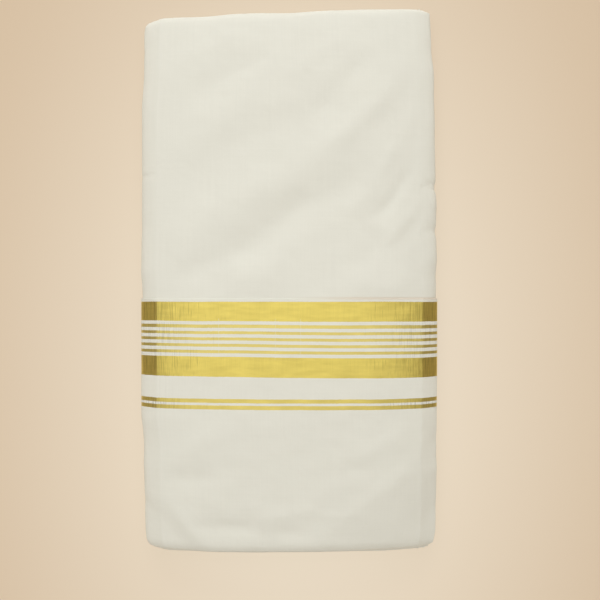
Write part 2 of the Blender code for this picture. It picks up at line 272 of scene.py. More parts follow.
THREAD = 0.0004  # pitch of the weave
COTTON = (0.818, 0.807, 0.713)
COTTON_ROUGHNESS = 0.86
# A tan line is painted along the flap's free edge as the shadow that edge casts on the cloth beside it.
EDGE_SHADOW_TAN = (0.700, 0.560, 0.420)  # of the painted tan shadow along the flap's edge, on the right half
EDGE_SHADOW_WIDTH, EDGE_SHADOW_OUT = 0.0016, 0.0003  # its width, and how far outside the flap's edge, on the panel, it is strongest
EDGE_SHADOW_SHARE, EDGE_SHADOW_FADE = 0.55, 0.050  # its most, and the way over which it comes in
ZARI = (0.713, 0.575, 0.141)
DAYLIGHT = (0.900, 0.945, 1.000)  # colour of the softboxes
WORLD_COLOUR = (0.240, 0.190, 0.125)

# Stretches of the path round the pack, each one unit long.
UNDER, LEFT_LOW, LEFT_HIGH, FRONT, RIGHT_HIGH, RIGHT_LOW, SLOT = range(7)
MIDDLE_OF_FRONT = FRONT + 0.5
PATH_END = SLOT + 0.999
PATH_STEP = 0.01  # over which the path's direction is measured

Grid = namedtuple("Grid", "middle normal thickness place")
TILE_MARGIN = 0.01  # round each tile of the UV maps, as a share of it


# ---- curves

def smooth_step(value):
    """0 below 0, 1 above 1, and a smooth rise between."""
    t = np.clip(value, 0.0, 1.0)
    return t * t * (3 - 2 * t)


def mix(a, b, share):
    return a + (b - a) * share


def table_value(rows, column, at):
    """A column of a table at the places `at` of its first column, on a curve that never overshoots."""
    places = np.array([row[0] for row in rows])
    values = np.array([getattr(row, column) for row in rows])
    slopes = np.diff(values) / np.diff(places)
    tangents = np.zeros(len(places))
    before, after = slopes[:-1], slopes[1:]
    same_way = before * after > 0
    tangents[1:-1][same_way] = (2 * before * after)[same_way] / (before + after)[same_way]
    at = np.clip(at, places[0], places[-1])
    i = np.clip(np.searchsorted(places, at, side="right") - 1, 0, len(slopes) - 1)
    length = np.diff(places)[i]
    t = (at - places[i]) / length
    rise = (3 - 2 * t) * t * t * (values[i + 1] - values[i])
    bend = t * (1 - t) * ((1 - t) * tangents[i] - t * tangents[i + 1]) * length
    return values[i] + rise + bend


def bezier(corners, t):
    """The point at t of a cubic curve, one coordinate at a time."""
    weights = ((1 - t) ** 3, 3 * t * (1 - t) ** 2, 3 * t * t * (1 - t), t**3)
    return [sum(w * corner[axis] for w, corner in zip(weights, corners)) for axis in range(2)]


def dents(rows, y):
    return sum(row.depth * np.exp(-(((y - row.y) / row.half_length) ** 2)) for row in rows)


def section_at(y):
    """Left edge, right edge, crown and side height of the section at y."""
    left, right, crown, side = (table_value(SECTIONS, name, y) for name in Section._fields[1:])
    return left + dents(LEFT_DENTS, y), right - dents(RIGHT_DENTS, y), crown, side + SIDE_LIFT


# ---- the pack's skin

def from_line(line, x, y):
    """The share of the way along a line that (x, y) is at, and how far to the right of the line it is."""
    along_x, along_y = line.x1 - line.x0, line.y1 - line.y0
    length = math.hypot(along_x, along_y)
    share = ((x - line.x0) * along_x + (y - line.y0) * along_y) / length**2
    return share, ((x - line.x0) * along_y - (y - line.y0) * along_x) / length


def crease_height(crease, x, y):
    """What one crease adds to the front at (x, y)."""
    share, across = from_line(crease, x, y)
    across = across - crease.bow * 4 * share * (1 - share)
    ends = smooth_step(share * 3) * smooth_step((1 - share) * 3)
    return crease.height * ends * np.exp(-((across / crease.half_width) ** 2))


def corner_fall(x, y):
    """How far the front has fallen away at (x, y), near its lower corners."""
    return sum(fall.depth * smooth_step(-from_line(fall, x, y)[1] / fall.width) for fall in CORNER_FALLS)


def ripple(x, y, across, along, phase=0.0):
    """A wave over the pack, by its radians per metre across it and along it."""
    return np.sin(x * across + y * along + phase)


def make_rumples():
    """A few faint waves that leave no stretch of the cloth quite even."""
    random = np.random.default_rng(11)
    waves = []
    for wavelength in (0.060, 0.044, 0.034, 0.027, 0.022, 0.018, 0.015, 0.012):
        for _ in range(2):
            angle, phase = random.uniform(0, math.pi), random.uniform(0, 2 * math.pi)
            number = 2 * math.pi / wavelength
            waves.append((number * math.cos(angle), number * math.sin(angle), phase, wavelength * 0.0013))
    return waves


RUMPLES = make_rumples()


def rumple_height(x, y):
    return sum(height * ripple(x, y, *wave) for *wave, height in RUMPLES)


def pucker_height(x, y, left, right):
    """The puckers of the border, unevenly far apart."""
    down = SELVEDGE_Y - y
    lengthwise = smooth_step(down / PUCKER_FADE_HIGH) * smooth_step((BORDER_LENGTH - down) / PUCKER_FADE_LOW)
    inward = np.minimum(x - (left + LEFT_TURN), (right - RIGHT_TURN) - x)
    nearness = smooth_step(1 - inward / PUCKER_REACH)
    wander = 0.9 * ripple(x, y, 130, 95) + 0.7 * ripple(x, y, 330, 41)
    wave = np.sin(x * FINE_PUCKERS + wander) + 0.8 * np.sin(x * BROAD_PUCKERS + 1.6 * wander)
    patches = 0.55 + 0.45 * ripple(x, y, 210, 130, 2.0 * np.sin(y * 60))
    return PUCKER_HEIGHT * lengthwise * nearness * wave * patches


def share_from_middle(x, left, right):
    """How far x is from the middle of the front face, from 0 to 1 at its sides."""
    start, end = left + LEFT_TURN, right - RIGHT_TURN
    return np.minimum(np.abs(2 * x - start - end) / (end - start), 1.0)


def crowned(share, crown, side):
    """Height of the smooth front at a share of the way out from its middle."""
    return side + (crown - side) * (1 - share**CROWN_POWER)


def front_height(x, y, row):
    """Height of the front face at (x, y)."""
    _, _, crown, side = row
    left, right = (table_value(SECTIONS, name, y) for name in ("left", "right"))
    share = share_from_middle(x, left, right)
    relief = sum(crease_height(crease, x, y) for crease in FRONT_CREASES) + rumple_height(x, y)
    relief = relief * (1 - share**RELIEF_FADE_POWER)
    relief = relief + pucker_height(x, y, left, right) * (1 - share**PUCKER_FADE_POWER)
    return crowned(share, crown, side) + relief - corner_fall(x, y)


def fall_outside(y, side):
    """How far the cloth would fall over 1 m at its slope just outside the front face."""
    return np.tan(mix(PLAIN_SLOPE, BORDER_SLOPE, table_value(STEEPNESS, side, y)))


def skin(u, y):
    """The outer face of the outermost cloth at u along its path and y along the pack, as x and z."""
    row = section_at(y)
    left, right, _, side = row
    which = np.clip(np.floor(u), UNDER, SLOT).astype(int)
    t = u - which
    start_x, end_x = left + LEFT_TURN, right - RIGHT_TURN
    left_top, right_top = side - corner_fall(start_x, y), side - corner_fall(end_x, y)
    left_nose, right_nose = LEFT_NOSE * side, RIGHT_NOSE * right_top
    floor, slot = np.zeros_like(side), SLOT_HEIGHT * side
    left_out, right_out = TURN_HANDLE * LEFT_TURN, TURN_HANDLE * RIGHT_TURN
    shoulder = mix(PLAIN_SHOULDER, BORDER_SHOULDER, table_value(STEEPNESS, "right", y))
    left_low = (
        (start_x, floor), (left + 0.35 * LEFT_TURN, floor), (left, 0.45 * left_nose), (left, left_nose),
    )
    left_high = (
        (left, left_nose), (left, mix(left_nose, left_top, 0.40)),
        (start_x - left_out, left_top - left_out * fall_outside(y, "left")), (start_x, left_top),
    )
    right_high = (
        (end_x, right_top), (end_x + right_out, right_top - 0.8 * right_out * fall_outside(y, "right")),
        (right, mix(right_nose, right_top, shoulder)), (right, right_nose),
    )
    right_low = (
        (right, right_nose), (right, mix(right_nose, slot, 0.6)),
        (right - 0.4 * LOOP_REACH, slot), (right - LOOP_REACH, slot),
    )
    front_x = mix(start_x, end_x, t)
    stretches = (
        (mix(right - FREE_END_REACH, start_x, t), floor),
        bezier(left_low, t),
        bezier(left_high, t),
        (front_x, front_height(front_x, y, row)),
        bezier(right_high, t),
        bezier(right_low, t),
        (right - mix(LOOP_REACH, TUCK_REACH, t), slot),
    )
    return [np.choose(which, [stretch[axis] for stretch in stretches]) for axis in range(2)]


def skin_below(u, y, depth):
    """The skin moved in by a depth, square to it in the section."""
    x, z = skin(u, y)
    before_x, before_z = skin(np.maximum(u - PATH_STEP, UNDER), y)
    after_x, after_z = skin(np.minimum(u + PATH_STEP, PATH_END), y)
    dx, dz = after_x - before_x, after_z - before_z
    length = np.hypot(dx, dz)
    return x + depth * dz / length, z - depth * dx / length


def slanted(x, y):
    """A section's place lengthwise, with the slant of the nearer end worked in."""
    top_share = smooth_step((y - SQUARE_HALF_LENGTH) / (TOP_FOLD_Y - SQUARE_HALF_LENGTH))
    low_share = smooth_step((-y - SQUARE_HALF_LENGTH) / (-BOTTOM_FOLD_Y - SQUARE_HALF_LENGTH))
    return y - top_share * table_value(TOP_END, "short", x) + low_share * table_value(BOTTOM_END, "short", x)


def bulge(share, most):
    """How far past the fold line the rounded end reaches, at a share of the way in from the skin."""
    return most * (1 - (1 - share) ** BULGE_POWER)


def bulge_share(reach, most):
    return 1 - (1 - np.clip(reach / most, 0.0, 0.999)) ** (1 / BULGE_POWER)


def front_sides(y):
    """Where the front face begins and ends, from left to right."""
    left, right, _, _ = section_at(y)
    return left + LEFT_TURN, right - RIGHT_TURN


def middle_of(x, y):
    """The point of the pack's middle line that the cloth at (x, y) closes in on at the ends."""
    left, right, crown, side = section_at(y)
    middle_x = np.clip(x, *front_sides(y))
    share = share_from_middle(middle_x, left, right)
    return middle_x, CENTRE_LINE * crowned(share, crown, side)


# ---- cloth from grids

def unit(vectors, least=0.0):
    """A grid of vectors, each at unit length."""
    return vectors / (np.linalg.norm(vectors, axis=2, keepdims=True) + least)


def grid_normals(points):
    """Unit normals of a grid of points, on the side that shows the border."""
    return unit(np.cross(np.gradient(points, axis=1), np.gradient(points, axis=0)))


def with_nose(grid, axis, at_end):
    """The grid with rows added that round its edge off as a fold is rounded."""
    edge, beside = (-1, -2) if at_end else (0, 1)
    angles = NOSE_ANGLES if at_end else NOSE_ANGLES[::-1]
    middle, normal, thickness, place = (values.take([edge], axis) for values in grid)
    out = unit(middle - grid.middle.take([beside], axis))
    place_step = unit(place - grid.place.take([beside], axis), NO_STEP)
    reaches = [thickness[..., None] / 2 * math.sin(angle) for angle in angles]
    nose = (
        [middle + out * reach for reach in reaches],
        [normal] * len(angles),
        [thickness * math.cos(angle) for angle in angles],
        [place + place_step * reach for reach in reaches],
    )
    joined = ([values, *rows] if at_end else [*rows, values] for values, rows in zip(grid, nose))
    return Grid(*(np.concatenate(rows, axis) for rows in joined))


def rounded(grid):
    for axis in (0, 1):
        for at_end in (False, True):
            grid = with_nose(grid, axis, at_end)
    return grid


def grid_quads(rows, columns):
    """Quads of the outer and inner side of a sheet, and of its four edges."""
    outer = np.arange(rows * columns).reshape(rows, columns)
    inner = outer + rows * columns
    sides_and_edges = (
        (outer[:-1, :-1], outer[:-1, 1:], outer[1:, 1:], outer[1:, :-1]),
        (inner[1:, :-1], inner[1:, 1:], inner[:-1, 1:], inner[:-1, :-1]),
        (inner[0, :-1], inner[0, 1:], outer[0, 1:], outer[0, :-1]),
        (outer[-1, :-1], outer[-1, 1:], inner[-1, 1:], inner[-1, :-1]),
        (inner[:-1, 0], outer[:-1, 0], outer[1:, 0], inner[1:, 0]),
        (outer[:-1, -1], inner[:-1, -1], inner[1:, -1], outer[1:, -1]),
    )
    return np.concatenate([np.stack(corners, -1).reshape(-1, 4) for corners in sides_and_edges])


def add_bake_map(mesh, quads, grid, breaks):
    """A UV map with one tile for each stretch of columns and each side of the sheet."""
    size, columns = grid.thickness.size, grid.thickness.shape[1]
    tiles = len(breaks) - 1
    across = math.ceil(tiles / 2)
    down = math.ceil(2 * tiles / across)
    row, column = np.divmod(quads % size, columns)
    tile = np.clip(np.searchsorted(breaks, column.min(axis=1), side="right") - 1, 0, tiles - 1)
    column_place = grid.place[..., 0].mean(axis=0)
    start, end = column_place[breaks[tile]][:, None], column_place[breaks[tile + 1]][:, None]
    row_place = grid.place[:, columns // 2, 1]
    along, upward = (column_place[column] - start) / (end - start), row_place[row] - row_place[0]
    shares = (along, upward / (row_place[-1] - row_place[0]))
    along, upward = (mix(TILE_MARGIN, 1 - TILE_MARGIN, np.clip(share, 0, 1)) for share in shares)
    tile = (tile + (quads.min(axis=1) >= size) * tiles)[:, None]
    places = np.stack([(tile % across + along) / across, (tile // across + upward) / down], -1)
    layer = mesh.uv_layers.new(name="OFBake")
    layer.uv.foreach_set("vector", places.astype(np.float32).ravel())


def add_object(name, data, location=(0.0, 0.0, 0.0)):
    made = bpy.data.objects.new(name, data)
    made.location = location
    scene.collection.objects.link(made)
    return made


def cloth_object(name, grid, breaks, material):
    """A closed sheet of cloth from a grid, with its places on the cloth as an attribute."""
    rows, columns = grid.thickness.shape
    half = grid.normal * grid.thickness[..., None] / 2
    points = np.stack([grid.middle + half, grid.middle - half]).reshape(-1, 3)
    quads = grid_quads(rows, columns)
    mesh = bpy.data.meshes.new(name)
    mesh.from_pydata(points.tolist(), [], quads.tolist())
    side = np.repeat([1.0, 0.0], rows * columns)
    places = np.column_stack([np.tile(grid.place.reshape(-1, 2), (2, 1)), side])
    mesh.attributes.new("cloth", "FLOAT_VECTOR", "POINT").data.foreach_set(
        "vector", places.astype(np.float32).ravel()
    )
    add_bake_map(mesh, quads, grid, np.array(breaks))
    mesh.materials.append(material)
    mesh.shade_smooth()
    return add_object(name, mesh)


# ---- the outermost cloth

def spread(start, end, spacing):
    """Places from start up to but not at end, about a spacing apart."""
    count = max(int(round(abs(end - start) / spacing)), 1)
    return np.linspace(start, end, count + 1)[:-1]


def path_places():
    """Values of u along the outermost path: close together at the turns and beside them."""
    beside = PUCKER_REACH / FACE_RUN
    stops = (
        (UNDER, UNDER_COLUMNS / FACE_RUN), (LEFT_LOW, 1 / 11), (LEFT_HIGH, 1 / 16),
        (FRONT, FINE_COLUMNS / FACE_RUN), (FRONT + beside, COARSE_COLUMNS / FACE_RUN),
        (RIGHT_HIGH - beside, FINE_COLUMNS / FACE_RUN), (RIGHT_HIGH, 1 / 16), (RIGHT_LOW, 1 / 12), (SLOT, 0),
    )
    spreads = [spread(start, end, spacing) for (start, spacing), (end, _) in zip(stops, stops[1:])]
    return np.concatenate([*spreads, np.linspace(SLOT, PATH_END, 7)])


def turn_relief(u, y):
    """What the creases round the side turns add to the skin."""
    total = np.zeros_like(y)
    left_share, right_share = (u - LEFT_LOW) / 2, (u - RIGHT_HIGH) / 2
    for share, creases in ((left_share, LEFT_TURN_CREASES), (1 - right_share, RIGHT_TURN_CREASES)):
        on_turn = smooth_step(share * 4) * smooth_step((1 - share) * 4)
        for crease in creases:
            along = y - crease.y - crease.lean * (share - 0.5)
            total = total + crease.height * on_turn * np.exp(-((along / crease.half_length) ** 2))
    return total


def end_share(u):
    """How far the outermost cloth closes over the pack's ends, along its path."""
    left = smooth_step((u - LEFT_LOW) / 2)
    right = smooth_step((u - RIGHT_HIGH) / 2.5)
    return mix(mix(UNDER_END_SHARE, FRONT_END_SHARE, left), RIGHT_END_SHARE, right)


def woven_drift(x, down):
    """How much higher the border's lines lie towards the left edge than towards the right."""
    band_drift = BAND_DRIFT * smooth_step(down / DRIFT_LENGTH)
    drift = mix(band_drift, PAIR_DRIFT, smooth_step((down - PAIR_DRIFT_START) / PAIR_DRIFT_LENGTH))
    return drift * smooth_step((DRIFT_HALF_WIDTH - x) / (2 * DRIFT_HALF_WIDTH))


def finished_grid(middle, normal, thickness, zero_column):
    """A grid with rounded edges and its places: along its path from a column, and down from the selvedge."""
    steps = np.linalg.norm(np.diff(middle, axis=1), axis=2)
    along = np.concatenate([np.zeros((len(steps), 1)), np.cumsum(steps, axis=1)], axis=1)
    along = along.mean(axis=0) - along[:, zero_column].mean()
    place = np.stack([along[None, :].repeat(len(steps), axis=0), middle[..., 1]], -1)
    grid = rounded(Grid(middle, normal, thickness, place))
    down = SELVEDGE_Y - grid.middle[..., 1]
    grid.place[..., 1] = down + woven_drift(grid.middle[..., 0], down)
    return grid


def rows_to_fold(free_y, fold_y):
    """Rows from a free edge to a fold, and over it: their y, and their shares of the way over."""
    fine_y = fold_y - math.copysign(FINE_LENGTH, fold_y)
    flat = [*spread(free_y, fine_y, COARSE_ROWS), *spread(fine_y, fold_y, FINE_ROWS), fold_y]
    closing = [0.0] * len(flat) + list(CLOSING_SHARES)
    return np.array(flat + [fold_y] * len(CLOSING_SHARES)), np.array(closing)


def outer_grid(free_y, fold_y, fold_thickness, depth_at):
    """A grid of the outermost cloth, and the first and last columns of its one tile."""
    y_places, closing = rows_to_fold(free_y, fold_y)
    upwards = 1 if fold_y > free_y else -1
    u, y = np.meshgrid(path_places(), y_places[::upwards])
    x, z = skin_below(u, y, depth_at(u, y) - turn_relief(u, y))
    z = np.maximum(z, 0.0)
    share = closing[::upwards, None] * end_share(u)
    middle_x, middle_z = middle_of(x, y)
    x, z = mix(x, middle_x, share), mix(z, middle_z, share)
    past = np.where(y > 0, bulge(share, TOP_BULGE), -bulge(share, BOTTOM_BULGE))
    skin_points = np.stack([x, slanted(x, y) + past, z], -1)
    normal = grid_normals(skin_points)
    thickness = mix(SHEET, fold_thickness, smooth_step(1 - np.abs(y - fold_y) / FOLD_LENGTH))
    middle = skin_points - normal * (thickness / 2)[..., None]
    middle[..., 2] = np.where(u < LEFT_LOW, np.maximum(middle[..., 2], thickness / 2), middle[..., 2])
    grid = finished_grid(middle, normal, thickness, np.searchsorted(u[0], MIDDLE_OF_FRONT))
    return grid, [0, grid.thickness.shape[1] - 1]


def panel_depth(u, y):
    """How deep the upper panel lies: less on the front, and not at all under the pack past the selvedge."""
    at_side = np.where(u < RIGHT_HIGH, smooth_step(FRONT - u), smooth_step(u - RIGHT_HIGH))
    on_floor = smooth_step(LEFT_HIGH - u) * smooth_step((y - SELVEDGE_Y) / PANEL_STEP_LENGTH)
    return mix(PANEL_DEPTH, PANEL_SIDE_DEPTH, at_side) * (1 - on_floor)


def upper_panel_grid():
    """The outermost strips above the flap, and the margin that the flap covers."""
    return outer_grid(TUCK_Y, TOP_FOLD_Y, TOP_FOLD, panel_depth)


def border_flap_grid():
    """The flap of the outermost strips, from its selvedge down to the bottom fold."""
    return outer_grid(SELVEDGE_Y, BOTTOM_FOLD_Y, BOTTOM_FOLD, lambda u, y: np.zeros_like(u))


# ---- the strips inside

# The order in which the cloth passes through the fourteen levels inside, counted up from the bottom.
STRIP_ORDER = (8, 7, 4, 11, 12, 3, 2, 13, 10, 5, 6, 9, 14, 1)
LEVELS = len(STRIP_ORDER)
SLOT_LEVEL = 8  # the level that the slot of the right turn takes up
BACK_WEIGHTS = (0.8, 1.0, 1.0, 1.25, 1.25, 1.25, 1.25)  # heights of levels 1 to 7 at the right edge
BACK_REACHES = {4: 0.0023, 5: 0.0040, 2: 0.0033}  # how far in the back turns' noses lie, by lower level
SLOT_GAP = 0.0003
TUCK_GAP = 0.0005  # between the tucked-in edge and the strip beside it
PARTING_START, PARTING_LENGTH = 0.075, 0.055  # the levels part round the slot, from this far in
LAYER_END_START, LAYER_END_LENGTH = 0.190, 0.020  # the inner strips come to lie deeper, from this y on
END_SET_BACK = 0.0006  # of the inner folds behind the outermost ones
END_OFFSETS = (0.2, -0.4, 0.3, 0.0, -0.3, 0.4, -0.1, 0.3, -0.4, 0.1, 0.4, -0.2, 0.2, -0.1)  # mm, by level
LEAST_ROOM, MOST_ROOM = 0.0003, 0.0022
LAYER_END_ROWS = (0.0, 0.0006, 0.0012, 0.0020, 0.0030, 0.0042, 0.0056, 0.0075, 0.011, 0.017, 0.026)
LAYER_ROWS = np.linspace(-0.180, 0.180, 33)  # rows between those beside the two ends
RUN_COLUMNS = 24
TURN_COLUMNS = 11

Column = namedtuple("Column", "point lower upper share")


def layer_depth(y):
    at_end = smooth_step((np.abs(y) - LAYER_END_START) / LAYER_END_LENGTH)
    return mix(LAYER_DEPTH, LAYER_END_DEPTH, at_end)


def right_bounds(y, level):
    """Height of a level's upper bound where the right turns begin, as a share of the inner height."""
    _, right, _, side = section_at(y)
    depth = layer_depth(y)
    inner = side - corner_fall(right - RIGHT_TURN, y) - 2 * depth
    slot = SLOT_HEIGHT * side
    if level < SLOT_LEVEL:
        below = sum(BACK_WEIGHTS[:level]) / sum(BACK_WEIGHTS)
        return below * (slot - SLOT_GAP - depth) / inner
    return mix(slot / inner, 1.0, (level - SLOT_LEVEL) / (LEVELS - SLOT_LEVEL))


def level_bound(x, y, level):
    """Height of a level's upper bound at (x, y)."""
    row = section_at(y)
    depth = layer_depth(y)
    top = front_height(np.clip(x, *front_sides(y)), y, row) - depth
    parting = smooth_step((x - (row[1] - PARTING_START)) / PARTING_LENGTH)
    return mix(depth, top, mix(level / LEVELS, right_bounds(y, level), parting))


def level_middle(x, y, low, high):
    """Height halfway between two levels' upper bounds at (x, y)."""
    return (level_bound(x, y, low) + level_bound(x, y, high)) / 2


def nested(x, z, inner_x, inner_z, place, loops):
    """A point of a loop, by its place among those from (x, z) to an inner point, and its room."""
    share = place / loops
    return mix(x, inner_x, share), mix(z, inner_z, share), (inner_x - x) / loops, (inner_z - z) / loops


def run_point(column, y):
    """x and z of a column of a straight run at y, and the room across it as a vector.

    The first run ends beside the tucked-in edge, and the last one at the cut end of the cloth.
    """
    start_x, end_x = front_sides(y)
    right, level = section_at(y)[1], column.lower
    if level == STRIP_ORDER[0]:
        end_x = right - TUCK_REACH - TUCK_GAP
    if level == STRIP_ORDER[-1]:
        end_x = right - FREE_END_REACH
    x = mix(start_x, end_x, column.share)
    low, high = level_bound(x, y, level - 1), level_bound(x, y, level)
    return x, (low + high) / 2, 0 * x, high - low


def left_turn_point(column, y):
    """The same on a turn at the left edge, where all turns are nested under the skin."""
    start_x, _ = front_sides(y)
    x, z = skin_below(LEFT_LOW + 2 * column.share + 0 * y, y, layer_depth(y))
    return nested(x, z, start_x, level_middle(start_x, y, 0, LEVELS), column.lower - 0.5, LEVELS / 2)


def front_turn_point(column, y):
    """The same on a turn at the right edge that is nested between the skin and the slot."""
    _, end_x = front_sides(y)
    last_u = SLOT + (RIGHT_TURN - LOOP_REACH) / (TUCK_REACH - LOOP_REACH)
    x, z = skin_below(mix(last_u, RIGHT_HIGH, column.share) + 0 * y, y, layer_depth(y))
    middle_z = level_middle(end_x, y, SLOT_LEVEL, LEVELS)
    place, loops = column.lower - SLOT_LEVEL - 0.5, (LEVELS - SLOT_LEVEL) / 2
    return nested(np.maximum(x, end_x), z, end_x, middle_z, place, loops)


def back_turn_point(column, y):
    """The same on a turn at the right edge under the slot: a round nose of its own."""
    _, end_x = front_sides(y)
    low, high = (level_middle(end_x, y, level - 1, level) for level in (column.lower, column.upper))
    room = level_bound(end_x, y, column.lower) - level_bound(end_x, y, column.lower - 1)
    wave = 0.0004 * np.sin(y * 70 + column.lower * 2.1) + 0.0002 * np.sin(y * 190 + column.lower)
    reach = RIGHT_TURN - BACK_REACHES[column.lower] + wave
    angle = (column.share - 0.5) * math.pi
    x = end_x + reach * abs(math.cos(angle)) ** 0.8
    z = mix(low, high, 0.5 + 0.5 * math.copysign(abs(math.sin(angle)) ** 0.9, angle))
    return x, z, room * math.cos(angle), room * math.sin(angle)


def strip_columns():
    """Columns of the ribbon in the order of its path, and the column at which each strip begins."""
    columns, breaks = [], []
    for i, level in enumerate(STRIP_ORDER):
        leftwards = i % 2 == 0
        shares = np.linspace(1, 0, RUN_COLUMNS) if leftwards else np.linspace(0, 1, RUN_COLUMNS)
        breaks.append(len(columns))
        columns += [Column(run_point, level, level, share) for share in shares]
        if i + 1 == LEVELS:
            break
        lower, upper = sorted((level, STRIP_ORDER[i + 1]))
        turn = np.linspace(0, 1, TURN_COLUMNS + 2)[1:-1]
        if level == upper:
            turn = turn[::-1]
        right_turn_point = front_turn_point if lower > SLOT_LEVEL else back_turn_point
        point = left_turn_point if leftwards else right_turn_point
        columns += [Column(point, lower, upper, share) for share in turn]
    return columns, breaks + [len(columns) - 1]


def between_levels(column, value_at):
    """What a column takes from its lower and its upper level, by how far it has climbed."""
    return mix(value_at(column.lower), value_at(column.upper), column.share)


def level_depth(level):
    """How deep in the pack a level lies, from 0 at the skin to 1 at the middle."""
    return (min(level, LEVELS + 1 - level) - 0.5) / (LEVELS / 2)


def covering(z, middle_z):
    """How far the outermost cloth closes over the ends, above the middle line and below it."""
    return np.where(z > middle_z, FRONT_END_SHARE, UNDER_END_SHARE)


def strip_ends(column):
    """The places along Y of a column's two ends, at the bottom folds and at the top folds."""
    depth = between_levels(column, level_depth)
    offset = between_levels(column, lambda level: END_OFFSETS[level - 1] / 1000)
    for fold_y, sign, most in ((BOTTOM_FOLD_Y, -1, BOTTOM_BULGE), (TOP_FOLD_Y, 1, TOP_BULGE)):
        x, z, _, _ = column.point(column, np.array([fold_y]))
        _, middle_z = middle_of(x, np.array([fold_y]))
        wave = 0.00022 * np.sin(x * 66 + column.lower * 1.9 + sign) + 0.00012 * np.sin(x * 151 + column.upper)
        reach = bulge(mix(covering(z, middle_z), 1.0, depth), most) - END_SET_BACK + sign * offset + wave
        yield (fold_y + sign * reach).item()


def closed_in(x, z, y_fold, reach):
    """A point of the ribbon drawn in towards the middle line, as the outermost cloth closes over the end."""
    middle_x, middle_z = middle_of(x, y_fold)
    share = bulge_share(reach, np.where(y_fold > 0, TOP_BULGE, BOTTOM_BULGE))
    share = np.minimum(share, covering(z, middle_z))
    return mix(x, middle_x, share), mix(z, middle_z, share), 1 - share


def inner_layers_grid():
    """The fourteen strips inside, as one ribbon folded to and fro."""
    columns, breaks = strip_columns()
    end_rows = np.array(LAYER_END_ROWS)
    points, rooms = [], []
    for column in columns:
        bottom, top = strip_ends(column)
        y = np.concatenate([bottom + end_rows, LAYER_ROWS, (top - end_rows)[::-1]])
        fold_y = np.clip(y, BOTTOM_FOLD_Y, TOP_FOLD_Y)
        x, z, room_x, room_z = column.point(column, fold_y)
        x, z, kept = closed_in(x, z, fold_y, np.abs(y - fold_y))
        points.append(np.stack([x, slanted(x, fold_y) + (y - fold_y), z], -1))
        rooms.append(np.stack([room_x * kept, room_z * kept], -1))
    points, rooms = np.stack(points, 1), np.stack(rooms, 1)
    normal = grid_normals(points)
    room = np.abs(normal[..., 0] * rooms[..., 0] + normal[..., 2] * rooms[..., 1])
    thickness = LAYER_FILL * np.clip(room, LEAST_ROOM, MOST_ROOM)
    grid = finished_grid(points, normal, thickness, 0)
    added = len(NOSE_ANGLES)
    return grid, [0] + [b + added for b in breaks[1:-1]] + [grid.thickness.shape[1] - 1]


# ---- materials

def operator(operation):
    """A sign of arithmetic, as a node."""
    return lambda value, *others: value.nodes.maths(operation, value, *others)


class Value:
    """A number that a material works out at each point, with the usual signs of arithmetic."""

    def __init__(self, nodes, socket):
        self.nodes, self.socket = nodes, socket

    __add__ = __radd__ = operator("ADD")
    __mul__ = __rmul__ = operator("MULTIPLY")
    __sub__ = operator("SUBTRACT")
    __truediv__ = operator("DIVIDE")
    __abs__ = operator("ABSOLUTE")

    def __rsub__(self, other):
        return self.nodes.maths("SUBTRACT", other, self)


class Nodes:
    """A material's node tree, with short ways to add what these materials use."""

    def __init__(self, name):
        self.material = bpy.data.materials.new(name)
        self.material.use_nodes = True
        self.tree = self.material.node_tree
        self.shader = self.tree.nodes["Principled BSDF"]

    def add(self, kind, output, inputs, **settings):
        """Adds a node and gives the value of one of its outputs."""
        node = self.tree.nodes.new(kind)
        for name, value in settings.items():
            setattr(node, name, value)
        for socket, value in inputs.items():
            self.put(node.inputs[socket], value)
        return Value(self, node.outputs[output])

    def put(self, socket, value):
        if isinstance(value, Value):
            self.tree.links.new(value.socket, socket)
        else:
            socket.default_value = value

    def shade(self, **inputs):
        """Sets inputs of the shader, with _ for each space in their names."""
        for name, value in inputs.items():
            self.put(self.shader.inputs[name.replace("_", " ")], value)

    def maths(self, operation, a, b=0.0, c=0.0):
        return self.add("ShaderNodeMath", 0, {0: a, 1: b, 2: c}, operation=operation)

    def clamped(self, value):
        return self.maths("MINIMUM", self.maths("MAXIMUM", value, 0.0), 1.0)

    def colour(self, share, dark, light):
        return self.add("ShaderNodeMix", 2, {0: share, 6: dark, 7: light}, data_type="RGBA")


class ClothNodes(Nodes):
    """The nodes of a cloth material, with the grids' places along and down, and 1 on the border's side."""

    def __init__(self, name):
        super().__init__(name)
        place = self.add("ShaderNodeAttribute", "Vector", {}, attribute_name="cloth")
        split = self.add("ShaderNodeSeparateXYZ", 0, {"Vector": place}).socket.node
        self.along, self.down, self.side = (Value(self, output) for output in split.outputs)

    def noise(self, along_size, down_size, detail=2.0, z=0.0):
        """Noise between 0 and 1 whose features have the given sizes in metres."""
        place = {"X": self.along / along_size, "Y": self.down / down_size, "Z": z}
        scaled = self.add("ShaderNodeCombineXYZ", 0, place)
        return self.add("ShaderNodeTexNoise", 0, {"Vector": scaled, "Scale": 1.0, "Detail": detail})

    def sway(self, along_size, down_size, detail=2.0):
        """Noise about 0."""
        return self.noise(along_size, down_size, detail) - 0.5


def rgba(colour, brightness=1.0):
    return (*(channel * brightness for channel in colour), 1.0)


def weave(nodes):
    """Height of the plain weave: one small bump for each crossing of its threads."""
    sway = nodes.noise(0.004, 0.004) * (THREAD / 2)
    waves = [nodes.maths("SINE", (place + sway) * (math.pi / THREAD)) for place in (nodes.along, nodes.down)]
    return abs(waves[0] * waves[1])


def with_painted_edge_shadow(nodes, colour):
    """The colour with a painted shadow, tinted tan, worked in along the flap's selvedge edge, on the right
    half.
    """
    near = nodes.clamped(1 - abs(nodes.down + EDGE_SHADOW_OUT) / EDGE_SHADOW_WIDTH)
    rightness = nodes.clamped(nodes.along / EDGE_SHADOW_FADE)
    return nodes.colour(near * rightness * EDGE_SHADOW_SHARE, colour, rgba(EDGE_SHADOW_TAN))


